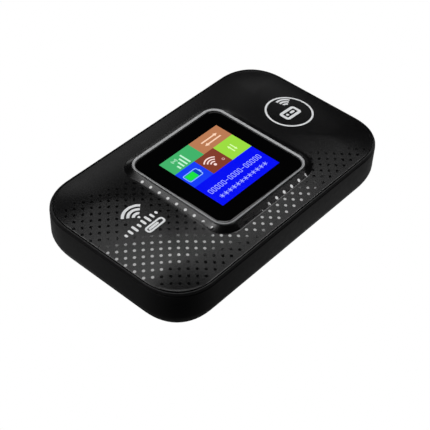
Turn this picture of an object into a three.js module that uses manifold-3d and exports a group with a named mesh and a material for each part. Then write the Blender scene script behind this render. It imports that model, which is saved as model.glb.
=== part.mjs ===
// Pocket mobile hotspot: a thin battery-powered router with a small square screen in its top.
// Millimetres, +X along the long side, +Y towards the side with the power button, +Z up.
// The origin is the middle of the flat underside, so the device stands on z = 0.

import * as THREE from 'three';
import { mergeVertices } from 'three/addons/utils/BufferGeometryUtils.js';
import Module from 'manifold-3d';

const wasm = await Module();
wasm.setup();

// ---- Driving dimensions ----------------------------------------------------

const LENGTH = 96.4;
const WIDTH = 58.1;
const RIM_TOP = 15.0;              // top of the thin ridge around the top panel
const CORNER = 14.7;               // how far each corner's curve reaches along the sides
const CORNER_POWER = 2.3;          // a little squarer than a circle, which is 2
const CORNER_STEPS = 9;

const WALL = 1.4;                  // rear cover's wall and floor
const UNDER_SIZE = 3.7;            // the underside's edge: inset on the floor
const UNDER_HEIGHT = 5.9;          // and height up the wall
const UNDER_POWER = 1.5;           // between a chamfer, which is 1, and an ellipse, which is 2
const COVER_TOP = 13.95;           // the rear cover ends here, at the seam
const LIP_DEPTH = 0.85;            // the cover's top edge thins to this
const LIP_START = 12.8;

const FIT = 0.3;                   // running gap between pieces that move apart
const STACK = 0.1;                 // gap between pieces that are stacked and fixed

const FRAME_INSET = WALL + FIT + 0.1;
const FRAME_WALL = 1.2;
const FRAME_BOTTOM = 6.5;
const FRAME_TOP = 14.45;
const DECK_BOTTOM = 7.3;           // the frame's deck is the battery bay's ceiling
const DECK_TOP = 8.3;
const RIM_BOTTOM = 14.2;
const RIM_WIDTH = 0.8;

const PANEL_INSET = 1.05;
const PANEL_BOTTOM = FRAME_TOP + STACK;
const PANEL_EDGE = 15.0;           // height of the panel's outer edge
const PANEL_RISE = 1.7;            // the panel swells this far above its edge
const PANEL_SPREAD = 25;           // over this distance in from the edge
const PANEL_POWER = 2.2;
const PANEL_THICK = 1.25;

const BEZEL_HALF = 19.35;
const BEZEL_CORNER = 4.5;
const BEZEL_TOP = 17.55;
const BEZEL_WIDTH = 0.8;
const BEZEL_DIP = 0.3;             // the bezel's top face slopes in by this much
const COLLAR_TOP = 17.3;           // the panel's raised collar around the bezel
const COLLAR_WIDTH = 2.1;
const COLLAR_HEIGHT = 1.4;
const GLASS_TOP = 17.0;
const GLASS_THICK = 0.8;
const LIGHT_WIDTH = 31.8;          // backlight, across the device
const LCD_X = 0.7;                 // centre of the lit area
const LCD_Y = 0.35;

const BOARD_BOTTOM = 9.6;
const BOARD_THICK = 0.8;
const BOARD_TOP = BOARD_BOTTOM + BOARD_THICK;
const BOARD_INSET = 3.5;

const BATTERY = { x: -10, y: 0, length: 60, width: 40, bottom: 2.0, top: 7.0 };
const BAY_GAP = 0.5;
const BAY_WALL = 1.0;

const USB = { y: 0, z: 10.0, width: 8.94, height: 3.2, depth: 7.3, wall: 0.3 };
const POWER = { x: 17, z: 12.0, length: 12, height: 3.2, proud: 0.6 };
const RESET = { x: 32, y: -17.5, radius: 1.1 };
const SIM = { x: 30.3, y: 8, length: 15, width: 12, thick: 0.76, z: 8.55 };
const CONTACTS = { y: -14.5, pitch: 2.6, count: 3 };
const SCREWS = [[-34, 23.8], [-34, -23.8], [6, 23.8], [6, -23.8], [37, 19.5], [37, -19.5]];
const SCREW_BOSS = 2.0;

// ---- Materials -------------------------------------------------------------

const finish = (color, roughness, metalness) => (
  new THREE.MeshStandardMaterial({ color, roughness, metalness })
);
const FINISHES = {
  case: finish(0x17181a, 0.42, 0),
  panel: finish(0x0b0b0d, 0.18, 0),
  frame: finish(0x202124, 0.6, 0),
  silver: finish(0xb9bbbe, 0.25, 1),
  glass: finish(0x050608, 0.05, 0),
  display: finish(0x1a2bd8, 0.3, 0),
  board: finish(0x14532f, 0.5, 0),
  can: finish(0xb4b6b8, 0.35, 1),
  chip: finish(0x18181a, 0.5, 0),
  plastic: finish(0xd9d4c4, 0.5, 0),
  copper: finish(0xc98a4b, 0.3, 1),
  gold: finish(0xd9b25a, 0.25, 1),
  steel: finish(0x9a9c9f, 0.3, 1),
  flex: finish(0xb5651d, 0.4, 0),
  label: finish(0xe6e6e2, 0.6, 0),
  cell: finish(0x3b3f45, 0.45, 0),
};

// ---- Solids ----------------------------------------------------------------

function toSolid(geometry) {
  const bare = geometry.clone();
  bare.deleteAttribute('normal');
  bare.deleteAttribute('uv');
  const merged = mergeVertices(bare);
  return new wasm.Manifold(new wasm.Mesh({
    numProp: 3,
    vertProperties: new Float32Array(merged.attributes.position.array),
    triVerts: new Uint32Array(merged.index.array),
  }));
}

function toGeometry(solid) {
  const mesh = solid.getMesh();
  const geometry = new THREE.BufferGeometry();
  geometry.setAttribute('position', new THREE.BufferAttribute(mesh.vertProperties, 3));
  geometry.setIndex(new THREE.BufferAttribute(mesh.triVerts, 1));
  geometry.computeVertexNormals();
  return geometry;
}

const join = (first, ...rest) => rest.reduce((sum, next) => sum.add(next), first);
const cut = (first, ...rest) => rest.reduce((sum, next) => sum.subtract(next), first);

/** A rectangle with curved corners as a closed outline, counter-clockwise. */
function roundedOutline(halfX, halfY, corner, power = 2, steps = 4) {
  const points = [];
  for (let quarter = 0; quarter < 4; quarter += 1) {
    for (let step = 0; step <= steps; step += 1) {
      const angle = (step / steps) * (Math.PI / 2);
      const along = corner * Math.cos(angle) ** (2 / power);
      const across = corner * Math.sin(angle) ** (2 / power);
      const [dx, dy] = quarter % 2 ? [across, along] : [along, across];
      const signX = quarter === 0 || quarter === 3 ? 1 : -1;
      const signY = quarter < 2 ? 1 : -1;
      points.push(new THREE.Vector2(
        signX * (halfX - corner + dx),
        signY * (halfY - corner + dy),
      ));
    }
  }
  return new THREE.Shape(points);
}

/** The device's own outline, drawn in by inset. */
const caseOutline = (inset) => roundedOutline(
  LENGTH / 2 - inset,
  WIDTH / 2 - inset,
  CORNER - inset,
  CORNER_POWER,
  CORNER_STEPS,
);

function slab(shape, bottom, top, x = 0, y = 0) {
  const geometry = new THREE.ExtrudeGeometry(shape, {
    depth: top - bottom,
    bevelEnabled: false,
    curveSegments: 6,
  });
  geometry.translate(x, y, bottom);
  return toSolid(geometry);
}

/** A block given by its lowest and highest corners. */
function block(low, high) {
  const [dx, dy, dz] = high.map((value, axis) => value - low[axis]);
  const geometry = new THREE.BoxGeometry(dx, dy, dz);
  geometry.translate(low[0] + dx / 2, low[1] + dy / 2, low[2] + dz / 2);
  return toSolid(geometry);
}

/** A rounded block: centre, full sizes, corner radius, and its two heights. */
const roundedBlock = (x, y, length, width, corner, bottom, top) => slab(
  roundedOutline(length / 2, width / 2, corner),
  bottom,
  top,
  x,
  y,
);

function upright(x, y, radius, bottom, top, sides = 20) {
  const geometry = new THREE.CylinderGeometry(radius, radius, top - bottom, sides);
  geometry.rotateX(Math.PI / 2);
  geometry.translate(x, y, (bottom + top) / 2);
  return toSolid(geometry);
}

/** A rounded square around the middle whose half width changes with height. */
function taperedSquare(bottomHalf, topHalf, corner, bottom, top) {
  const geometry = new THREE.ExtrudeGeometry(roundedOutline(bottomHalf, bottomHalf, corner), {
    depth: top - bottom,
    bevelEnabled: false,
  });
  const position = geometry.attributes.position;
  const middle = (top - bottom) / 2;
  for (let i = 0; i < position.count; i += 1) {
    if (position.getZ(i) > middle) {
      position.setX(i, position.getX(i) * (topHalf / bottomHalf));
      position.setY(i, position.getY(i) * (topHalf / bottomHalf));
    }
  }
  geometry.translate(0, 0, bottom);
  return toSolid(geometry);
}

const screenSquare = (half, corner, bottom, top) => (
  taperedSquare(half, half, corner, bottom, top)
);

/** A tub shape: the case outline, with its lower edge curved in. */
function tub(inset, floor, top, size, height) {
  const straight = top - floor - height;
  const geometry = new THREE.ExtrudeGeometry(caseOutline(inset), {
    depth: straight,
    bevelEnabled: true,
    bevelThickness: height,
    bevelSize: size,
    bevelOffset: -size,
    bevelSegments: 6,
  });
  const position = geometry.attributes.position;
  for (let i = 0; i < position.count; i += 1) {
    const down = -position.getZ(i) / height;
    if (down > 0) {
      const out = Math.sqrt(Math.max(0, 1 - down * down));
      position.setZ(i, -height * (1 - out ** UNDER_POWER) ** (1 / UNDER_POWER));
    }
  }
  geometry.translate(0, 0, floor + height);
  const keep = block([-LENGTH, -WIDTH, floor], [LENGTH, WIDTH, top]);
  return toSolid(geometry).intersect(keep);
}

/** How far a point lies inside the panel's outline. */
function depthInside(x, y) {
  const corner = CORNER - PANEL_INSET;
  const overX = Math.abs(x) - (LENGTH / 2 - PANEL_INSET - corner);
  const overY = Math.abs(y) - (WIDTH / 2 - PANEL_INSET - corner);
  const outside = Math.hypot(Math.max(overX, 0), Math.max(overY, 0));
  return corner - outside - Math.min(Math.max(overX, overY), 0);
}

/** Height of the swollen panel surface at a point. */
function crownHeight(x, y) {
  const share = Math.min(Math.max(depthInside(x, y), 0) / PANEL_SPREAD, 1);
  return PANEL_EDGE + PANEL_RISE * (1 - (1 - share) ** PANEL_POWER);
}

/** A block under the crowned surface, lowered by drop; its grid is finer near the edges. */
function crownedBlock(bottom, drop) {
  const geometry = new THREE.BoxGeometry(2, 2, 2, 22, 16, 1);
  const position = geometry.attributes.position;
  for (let i = 0; i < position.count; i += 1) {
    const x = (LENGTH / 2) * Math.sin(position.getX(i) * (Math.PI / 2));
    const y = (WIDTH / 2) * Math.sin(position.getY(i) * (Math.PI / 2));
    const z = position.getZ(i) > 0 ? crownHeight(x, y) - drop : bottom;
    position.setXYZ(i, x, y, z);
  }
  return toSolid(geometry);
}

// ---- Assembly --------------------------------------------------------------

const hotspot = new THREE.Group();

function add(name, solid, material) {
  const mesh = new THREE.Mesh(toGeometry(solid), material);
  mesh.name = name;
  hotspot.add(mesh);
}

// ---- Rear cover: a tray that is also the side walls ------------------------

function rearCover() {
  const outer = tub(0, 0, COVER_TOP, UNDER_SIZE, UNDER_HEIGHT);
  const inner = tub(WALL, WALL + 0.1, COVER_TOP + 1, UNDER_SIZE - 0.4, UNDER_HEIGHT - 1.1);
  const lip = slab(caseOutline(LIP_DEPTH), LIP_START, COVER_TOP + 1);
  const usbHole = slab(
    roundedOutline(USB.height / 2 + 0.35, USB.width / 2 + 0.35, USB.height / 2 + 0.3),
    0,
    WALL * 4,
  ).rotate([0, 90, 0]).translate([LENGTH / 2 - WALL * 2, USB.y, USB.z]);
  const buttonNotch = block(
    [POWER.x - POWER.length / 2 - FIT, WIDTH / 2 - WALL * 2, POWER.z - POWER.height / 2 - FIT],
    [POWER.x + POWER.length / 2 + FIT, WIDTH / 2 + 1, COVER_TOP + 1],
  );
  const pryNotch = block([-6, WIDTH / 2 - 0.6, COVER_TOP - 0.7], [6, WIDTH / 2 + 1, COVER_TOP + 1]);
  add('rear_cover', cut(outer, inner, lip, usbHole, buttonNotch, pryNotch), FINISHES.case);
}

// ---- Mid frame: rim, wall, deck and battery bay -----------------------------

function midFrame() {
  const inside = FRAME_INSET + FRAME_WALL;
  const wall = slab(caseOutline(FRAME_INSET), FRAME_BOTTOM, RIM_BOTTOM + 0.1);
  const shelf = slab(caseOutline(LIP_DEPTH + FIT), LIP_START + FIT, FRAME_TOP);
  const rim = slab(caseOutline(0), RIM_BOTTOM, RIM_TOP - 0.05);
  const panelSeat = slab(caseOutline(RIM_WIDTH), FRAME_TOP, RIM_TOP + 1);
  const above = slab(caseOutline(inside), DECK_TOP, RIM_TOP + 1);
  const below = slab(caseOutline(inside), FRAME_BOTTOM - 1, DECK_BOTTOM);
  const bayOuter = roundedBlock(
    BATTERY.x, BATTERY.y,
    BATTERY.length + 2 * (BAY_GAP + BAY_WALL), BATTERY.width + 2 * (BAY_GAP + BAY_WALL),
    2.5, BATTERY.bottom + 0.3, DECK_BOTTOM + 0.2,
  );
  const bayInner = roundedBlock(
    BATTERY.x, BATTERY.y,
    BATTERY.length + 2 * BAY_GAP, BATTERY.width + 2 * BAY_GAP,
    1.5, 0, DECK_BOTTOM,
  );
  const bayEnd = BATTERY.x + BATTERY.length / 2;
  const contactGap = block(
    [bayEnd + 0.2, CONTACTS.y - 6, 0],
    [bayEnd + 6, CONTACTS.y + 6, DECK_TOP + 1],
  );
  const simGap = block(
    [SIM.x - SIM.length / 2 - 1.5, SIM.y - 19.5, DECK_BOTTOM - 1],
    [SIM.x + SIM.length / 2 + 1.5, SIM.y + 8.5, DECK_TOP + 1],
  );
  const resetPost = upright(RESET.x, RESET.y, 2.6, DECK_BOTTOM - 0.6, DECK_TOP);
  const resetHole = upright(RESET.x, RESET.y, RESET.radius + 0.25, 0, DECK_TOP + 1);
  const usbWindow = block(
    [LENGTH / 2 - 6, USB.y - USB.width / 2 - 0.4, USB.z - USB.height / 2 - 0.2],
    [LENGTH / 2 + 1, USB.y + USB.width / 2 + 0.4, USB.z + USB.height / 2 + 0.4],
  );
  const buttonWindow = block(
    [POWER.x - POWER.length / 2 - FIT, WIDTH / 2 - 5, POWER.z - POWER.height / 2 - FIT],
    [POWER.x + POWER.length / 2 + FIT, WIDTH / 2 + 1, POWER.z + POWER.height / 2 + FIT],
  );
  const screwSeats = SCREWS.map(([x, y]) => (
    upright(x, y, SCREW_BOSS + 0.4, DECK_BOTTOM - 0.9, DECK_TOP)
  ));
  const screwHoles = SCREWS.flatMap(([x, y]) => [
    upright(x, y, 1.0, 0, DECK_TOP + 1),
    upright(x, y, 1.75, 0, DECK_BOTTOM + 0.1),
  ]);
  const shell = cut(join(wall, shelf, rim), panelSeat, above, below);
  const bay = cut(bayOuter, bayInner);
  const body = join(shell, bay, resetPost, ...screwSeats);
  const solid = cut(body, contactGap, simGap, resetHole, usbWindow, buttonWindow, ...screwHoles);
  add('mid_frame', solid, FINISHES.frame);
}

// ---- Top panel with its collar, the bezel and the cover glass ---------------

function topPanel() {
  const inside = FRAME_INSET + FRAME_WALL + 0.4;
  const crown = crownedBlock(PANEL_BOTTOM, 0).intersect(
    slab(caseOutline(PANEL_INSET), PANEL_BOTTOM - 1, PANEL_EDGE + 5),
  );
  const collarHalf = BEZEL_HALF + 0.15;
  const collar = taperedSquare(
    collarHalf + COLLAR_WIDTH, collarHalf, BEZEL_CORNER + COLLAR_WIDTH,
    COLLAR_TOP - COLLAR_HEIGHT, COLLAR_TOP,
  );
  const pocket = crownedBlock(PANEL_BOTTOM - 1, PANEL_THICK).intersect(
    slab(caseOutline(inside), PANEL_BOTTOM - 1, PANEL_EDGE + 5),
  );
  const rib = screenSquare(collarHalf + 1.2, BEZEL_CORNER + 1, PANEL_BOTTOM, PANEL_EDGE + 0.6);
  const opening = screenSquare(BEZEL_HALF + STACK, BEZEL_CORNER, PANEL_BOTTOM - 1, COLLAR_TOP + 1);
  const bosses = SCREWS.map(([x, y]) => upright(x, y, SCREW_BOSS, BOARD_TOP + 0.4, PANEL_EDGE));
  const threads = SCREWS.map(([x, y]) => upright(x, y, 0.9, BOARD_TOP - 1, PANEL_EDGE - 0.6));
  const shell = cut(join(crown, collar), pocket);
  const solid = cut(join(shell, rib, ...bosses), opening, ...threads);
  add('top_panel', solid, FINISHES.panel);
}

function screenBezel() {
  const innerHalf = BEZEL_HALF - BEZEL_WIDTH;
  const slope = BEZEL_DIP / BEZEL_WIDTH;
  const body = screenSquare(BEZEL_HALF, BEZEL_CORNER, PANEL_BOTTOM, BEZEL_TOP);
  const dish = taperedSquare(
    innerHalf, innerHalf + 1 / slope, BEZEL_CORNER - BEZEL_WIDTH,
    BEZEL_TOP - BEZEL_DIP, BEZEL_TOP - BEZEL_DIP + 1,
  );
  const seat = screenSquare(
    innerHalf, BEZEL_CORNER - BEZEL_WIDTH, GLASS_TOP - GLASS_THICK - STACK, BEZEL_TOP,
  );
  const hole = screenSquare(innerHalf - 1.3, 1.5, 0, BEZEL_TOP);
  add('screen_bezel', cut(body, dish, seat, hole), FINISHES.silver);
  const glass = screenSquare(
    innerHalf - 0.15, BEZEL_CORNER - BEZEL_WIDTH - 0.1, GLASS_TOP - GLASS_THICK, GLASS_TOP,
  );
  add('cover_glass', glass, FINISHES.glass);
}

// ---- Display module ---------------------------------------------------------

function displayModule() {
  const glassBottom = GLASS_TOP - GLASS_THICK;
  const panelTop = glassBottom - STACK;
  const panelBottom = panelTop - 1.3;
  const lightTop = panelBottom - STACK / 2;
  const lightBottom = 12.6;
  const panel = roundedBlock(LCD_X, LCD_Y, 28.6, 31.0, 0.6, panelBottom, panelTop);
  add('lcd_panel', panel, FINISHES.display);
  const light = roundedBlock(LCD_X, LCD_Y, 30, LIGHT_WIDTH, 1, lightBottom, lightTop);
  add('lcd_backlight', light, FINISHES.plastic);

  // The ribbon leaves the display's lower edge, turns down and folds back under it.
  const edge = LCD_Y - LIGHT_WIDTH / 2;
  const top = lightBottom + 0.9;
  const bottom = BOARD_TOP + 0.95;
  const thick = 0.25;
  const bend = (top - bottom) / 2;
  const ribbon = new THREE.Shape();
  ribbon.moveTo(edge - STACK, top);
  ribbon.lineTo(edge - STACK, top - thick);
  ribbon.absarc(edge - 0.6, (top + bottom) / 2, bend - thick, Math.PI / 2, 1.5 * Math.PI, false);
  ribbon.lineTo(edge + 7, bottom + thick);
  ribbon.lineTo(edge + 7, bottom);
  ribbon.absarc(edge - 0.6, (top + bottom) / 2, bend, 1.5 * Math.PI, Math.PI / 2, true);
  ribbon.closePath();
  const strip = slab(ribbon, -6, 6).rotate([90, 0, 90]).translate([LCD_X, 0, 0]);
  add('display_flex', strip, FINISHES.flex);
  const plug = block(
    [LCD_X - 6.5, edge + 4, BOARD_TOP + STACK / 2],
    [LCD_X + 6.5, edge + 6.8, bottom - STACK / 2],
  );
  add('display_connector', plug, FINISHES.plastic);
}

// ---- Main board and what is soldered to it -----------------------------------

function mainBoard() {
  const plate = slab(caseOutline(BOARD_INSET), BOARD_BOTTOM, BOARD_TOP);
  const usbCut = block(
    [LENGTH / 2 - FRAME_INSET - USB.depth - 0.7, USB.y - USB.width / 2 - 0.3, 0],
    [LENGTH, USB.y + USB.width / 2 + 0.3, BOARD_TOP + 1],
  );
  const bossHoles = SCREWS.map(([x, y]) => upright(x, y, 1.3, 0, BOARD_TOP + 1));
  add('main_board', cut(plate, usbCut, ...bossHoles), FINISHES.board);
}

/** A sheet-metal can, open underneath, with the chips it covers. */
function shieldedChips(name, x, y, length, width, chips) {
  const base = BOARD_TOP + STACK / 2;
  const top = base + 1.55;
  const outer = roundedBlock(x, y, length, width, 0.8, base, top);
  const inner = roundedBlock(x, y, length - 0.5, width - 0.5, 0.6, base - 1, top - 0.25);
  add(name, cut(outer, inner), FINISHES.can);
  for (const chip of chips) {
    const solid = roundedBlock(
      x + chip.dx, y + chip.dy, chip.length, chip.width, 0.3, base, base + chip.height,
    );
    add(chip.name, solid, FINISHES.chip);
  }
}

function boardParts() {
  shieldedChips('baseband_shield', -28, 7, 22, 24, [
    { name: 'baseband_chip', dx: -3.5, dy: 4, length: 11, width: 11, height: 0.95 },
    { name: 'memory_chip', dx: -3.5, dy: -6.5, length: 11, width: 8, height: 0.85 },
    { name: 'power_chip', dx: 6.5, dy: 2, length: 5.5, width: 5.5, height: 0.8 },
  ]);
  shieldedChips('radio_shield', -28, -13.5, 22, 14, [
    { name: 'transceiver_chip', dx: -4.5, dy: 0, length: 7, width: 7, height: 0.9 },
    { name: 'amplifier_chip', dx: 5, dy: 0, length: 5, width: 5, height: 0.9 },
  ]);
  shieldedChips('wifi_shield', 29, -6, 12, 14, [
    { name: 'wifi_chip', dx: 0, dy: 0, length: 8, width: 8, height: 0.9 },
  ]);
}

// ---- Antennas -----------------------------------------------------------------

/** A foil antenna on a plastic carrier; the foil is a row of fingers joined by a spine. */
function antenna(name, x, y, length, width, fingers) {
  const base = BOARD_TOP + STACK / 2;
  const carrierTop = 13.4;
  const carrier = cut(
    roundedBlock(x, y, width, length, 0.8, base, carrierTop),
    roundedBlock(x, y, width - 2, length - 2, 0.4, base - 1, carrierTop - 0.9),
  );
  add(`${name}_carrier`, carrier, FINISHES.chip);
  const foilBottom = carrierTop + STACK / 2;
  const foilTop = foilBottom + 0.25;
  const pitch = (length - 1) / fingers;
  const spine = block(
    [x - width / 2 + 0.3, y - length / 2 + 0.5, foilBottom],
    [x - width / 2 + 1.1, y + length / 2 - 0.5, foilTop],
  );
  const rungs = Array.from({ length: fingers }, (_, i) => block(
    [x - width / 2 + 0.5, y - length / 2 + 0.5 + i * pitch, foilBottom],
    [x + width / 2 - 0.3, y - length / 2 + 0.5 + (i + 0.62) * pitch, foilTop],
  ));
  add(`${name}_antenna`, join(spine, ...rungs), FINISHES.copper);
}

// ---- USB socket ------------------------------------------------------------------

function usbSocket() {
  const mouth = LENGTH / 2 - FRAME_INSET + 0.1;
  const stadium = (width, height) => roundedOutline(height / 2, width / 2, height / 2 - 0.01, 2, 6);
  const outer = slab(stadium(USB.width, USB.height), 0, USB.depth);
  const inner = slab(
    stadium(USB.width - 2 * USB.wall, USB.height - 2 * USB.wall), 0.6, USB.depth + 1,
  );
  const place = (solid) => solid.rotate([0, 90, 0]).translate([mouth - USB.depth, USB.y, USB.z]);
  add('usb_socket', place(cut(outer, inner)), FINISHES.steel);
  const tongue = slab(roundedOutline(0.35, 3.3, 0.2), 0.7, USB.depth - 1);
  add('usb_tongue', place(tongue), FINISHES.chip);
}

// ---- Power button and its switch -----------------------------------------------------

function powerButton() {
  const face = WIDTH / 2 + POWER.proud;
  const back = WIDTH / 2 - FRAME_INSET - FRAME_WALL - 0.5;
  const key = slab(
    roundedOutline(POWER.length / 2, POWER.height / 2, POWER.height / 2 - 0.05, 2, 5), back, face,
  ).rotate([-90, 0, 0]).translate([POWER.x, 0, POWER.z]);
  const flange = block(
    [POWER.x - POWER.length / 2 - 1, back - 0.6, POWER.z - POWER.height / 2],
    [POWER.x + POWER.length / 2 + 1, back + 0.05, POWER.z + POWER.height / 2],
  );
  add('power_button', join(key, flange), FINISHES.panel);

  const stemFront = back - 0.6 - STACK;
  const stem = block(
    [POWER.x - 1.2, stemFront - 0.7, BOARD_TOP + 0.55],
    [POWER.x + 1.2, stemFront, BOARD_TOP + 1.25],
  );
  add('power_switch_stem', stem, FINISHES.plastic);
  const bodyFront = stemFront - 0.7 - 0.45;
  const body = block(
    [POWER.x - 2.6, bodyFront - 2.2, BOARD_TOP + STACK / 2],
    [POWER.x + 2.6, bodyFront, BOARD_TOP + 1.6],
  );
  add('power_switch', body, FINISHES.steel);
}

// ---- Reset button, reached through the battery bay -------------------------------------

function resetButton() {
  const switchTop = BOARD_BOTTOM - STACK / 2;
  const switchBottom = switchTop - 0.6;
  const body = roundedBlock(RESET.x, RESET.y, 3, 3, 0.3, switchBottom, switchTop);
  add('reset_switch', body, FINISHES.steel);
  const stemTop = switchBottom - 0.33;
  const stem = upright(RESET.x, RESET.y, 0.6, stemTop - 0.2, stemTop);
  add('reset_switch_stem', stem, FINISHES.plastic);
  const capTop = stemTop - 0.2 - STACK / 2;
  const cap = upright(RESET.x, RESET.y, RESET.radius, capTop - 1.2, capTop);
  add('reset_button', cap, FINISHES.plastic);
}

// ---- SIM card and its holder --------------------------------------------------------------

function simHolder() {
  const top = BOARD_BOTTOM - STACK / 2;
  const outer = block(
    [SIM.x - SIM.length / 2 - 1, SIM.y - SIM.width / 2 + 2, SIM.z - 0.45],
    [SIM.x + SIM.length / 2 + 1, SIM.y + SIM.width / 2 + 1, top],
  );
  const slot = block(
    [SIM.x - SIM.length / 2 - 0.15, SIM.y - SIM.width, SIM.z - 0.15],
    [SIM.x + SIM.length / 2 + 0.15, SIM.y + SIM.width / 2 + 0.2, SIM.z + SIM.thick + 0.1],
  );
  const thumb = block(
    [SIM.x - 4, SIM.y - SIM.width, SIM.z - 1],
    [SIM.x + 4, SIM.y - 1, SIM.z + 0.3],
  );
  add('sim_holder', cut(outer, slot, thumb), FINISHES.can);
  const card = roundedBlock(
    SIM.x, SIM.y, SIM.length, SIM.width, 0.8, SIM.z, SIM.z + SIM.thick,
  );
  const key = block(
    [SIM.x + SIM.length / 2 - 2, SIM.y - SIM.width / 2 - 1, 0],
    [SIM.x + SIM.length / 2 + 1, SIM.y - SIM.width / 2 + 0.6, SIM.z + 2],
  );
  add('sim_card', cut(card, key), FINISHES.plastic);
}

// ---- Battery, its contacts and the labels ----------------------------------------------------

function battery() {
  const capLength = 3.2;
  const low = BATTERY.x - BATTERY.length / 2;
  const high = BATTERY.x + BATTERY.length / 2;
  const cellLength = BATTERY.length - capLength - STACK;
  const cell = slab(
    roundedOutline((BATTERY.top - BATTERY.bottom) / 2, BATTERY.width / 2, 1.8), 0, cellLength,
  ).rotate([0, 90, 0]).translate([low, BATTERY.y, (BATTERY.top + BATTERY.bottom) / 2]);
  const labelRecess = roundedBlock(
    low + cellLength / 2, 0, cellLength - 7, 33, 0.5, 0, BATTERY.bottom + 0.2,
  );
  add('battery_cell', cut(cell, labelRecess), FINISHES.cell);
  const label = roundedBlock(
    low + cellLength / 2, 0, cellLength - 7.4, 32.6, 0.5, BATTERY.bottom + 0.02, BATTERY.bottom + 0.17,
  );
  add('battery_label', label, FINISHES.label);
  const cap = slab(
    roundedOutline((BATTERY.top - BATTERY.bottom) / 2, BATTERY.width / 2, 1.6), 0, capLength,
  ).rotate([0, 90, 0]).translate([high - capLength, BATTERY.y, (BATTERY.top + BATTERY.bottom) / 2]);
  const recesses = contactPlaces().map((y) => (
    block([high - 0.35, y - 1, 3.4], [high + 1, y + 1, 6.0])
  ));
  add('battery_end_cap', cut(cap, ...recesses), FINISHES.chip);
  contactPlaces().forEach((y, i) => {
    const pad = block([high - 0.3, y - 0.9, 3.5], [high - 0.05, y + 0.9, 5.9]);
    add(`battery_terminal_${i + 1}`, pad, FINISHES.gold);
  });
}

function contactPlaces() {
  return Array.from(
    { length: CONTACTS.count },
    (_, i) => CONTACTS.y + (i - (CONTACTS.count - 1) / 2) * CONTACTS.pitch,
  );
}

/** Leaf springs that bulge towards the battery's terminals, in a plastic block. */
function batteryContacts() {
  const face = BATTERY.x + BATTERY.length / 2 + 0.9;
  const slots = contactPlaces().map((y) => (
    block([face - 1, y - 0.7, 3.6], [face + 2.2, y + 0.7, 6.1])
  ));
  const body = block(
    [face, CONTACTS.y - 5, 3.0],
    [face + 3.6, CONTACTS.y + 5, BOARD_BOTTOM - STACK / 2],
  );
  add('battery_contact_block', cut(body, ...slots), FINISHES.chip);
  contactPlaces().forEach((y, i) => {
    const leaf = new THREE.Shape();
    leaf.moveTo(face + 2.0, 3.8);
    leaf.lineTo(face + 2.0, 5.9);
    leaf.lineTo(face + 1.75, 5.9);
    leaf.quadraticCurveTo(face - 3.35, 4.85, face + 1.75, 3.8);
    leaf.closePath();
    const spring = slab(leaf, -0.5, 0.5).rotate([90, 0, 0]).translate([0, y, 0]);
    add(`battery_spring_${i + 1}`, spring, FINISHES.gold);
  });
}

function ratingLabel() {
  const solid = roundedBlock(-14, 0, 34, 24, 1, DECK_BOTTOM - 0.2, DECK_BOTTOM - 0.05);
  add('rating_label', solid, FINISHES.label);
}

// ---- Screws that hold the frame to the top panel ------------------------------------------------

function frameScrews() {
  SCREWS.forEach(([x, y], i) => {
    const head = upright(x, y, 1.5, DECK_BOTTOM - 0.75, DECK_BOTTOM, 16);
    const shank = upright(x, y, 0.75, DECK_BOTTOM - 0.2, PANEL_EDGE - 1, 12);
    const slotA = block([x - 0.9, y - 0.18, 0], [x + 0.9, y + 0.18, DECK_BOTTOM - 0.4]);
    const slotB = block([x - 0.18, y - 0.9, 0], [x + 0.18, y + 0.9, DECK_BOTTOM - 0.4]);
    add(`frame_screw_${i + 1}`, cut(join(head, shank), slotA, slotB), FINISHES.steel);
  });
}

rearCover();
midFrame();
topPanel();
screenBezel();
displayModule();
mainBoard();
boardParts();
antenna('main', -41.5, 0, 30, 5, 7);
antenna('diversity', 42.3, 13.2, 12, 4, 4);
antenna('wifi', 42.3, -13.2, 12, 4, 4);
usbSocket();
powerButton();
resetButton();
simHolder();
battery();
batteryContacts();
ratingLabel();
frameScrews();

export default hotspot;
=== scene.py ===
"""Looks of the pocket mobile hotspot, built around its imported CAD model.

Sizes are in millimetres in the CAD model's own frame, and MM turns them into Blender's metres.
+X is along the long side, +Y is towards the power key, and +Z is out of the screen.
"""

import itertools
import math

import bpy
import numpy as np
from mathutils import Matrix, Vector


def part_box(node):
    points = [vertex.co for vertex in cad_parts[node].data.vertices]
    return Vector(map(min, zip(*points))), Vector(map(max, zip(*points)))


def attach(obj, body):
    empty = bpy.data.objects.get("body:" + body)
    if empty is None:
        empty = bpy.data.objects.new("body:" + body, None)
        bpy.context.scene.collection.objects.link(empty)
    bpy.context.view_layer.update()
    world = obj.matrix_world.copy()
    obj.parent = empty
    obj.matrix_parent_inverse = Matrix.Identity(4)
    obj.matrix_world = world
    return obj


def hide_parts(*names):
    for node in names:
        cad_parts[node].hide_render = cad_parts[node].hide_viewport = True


MM = 0.001
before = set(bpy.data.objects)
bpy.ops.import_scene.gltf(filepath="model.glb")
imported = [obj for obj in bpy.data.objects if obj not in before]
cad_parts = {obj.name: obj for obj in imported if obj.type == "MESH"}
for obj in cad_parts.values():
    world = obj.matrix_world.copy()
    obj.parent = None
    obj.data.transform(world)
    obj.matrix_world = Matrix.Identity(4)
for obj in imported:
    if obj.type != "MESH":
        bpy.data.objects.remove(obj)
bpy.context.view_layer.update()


def corners_of(node):
    """Lowest and highest corner of a CAD node, in millimetres."""
    low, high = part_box(node)
    return low / MM, high / MM


def middle_of(node):
    return sum(corners_of(node), Vector()) / 2


# ---- Dimensions ----

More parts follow.
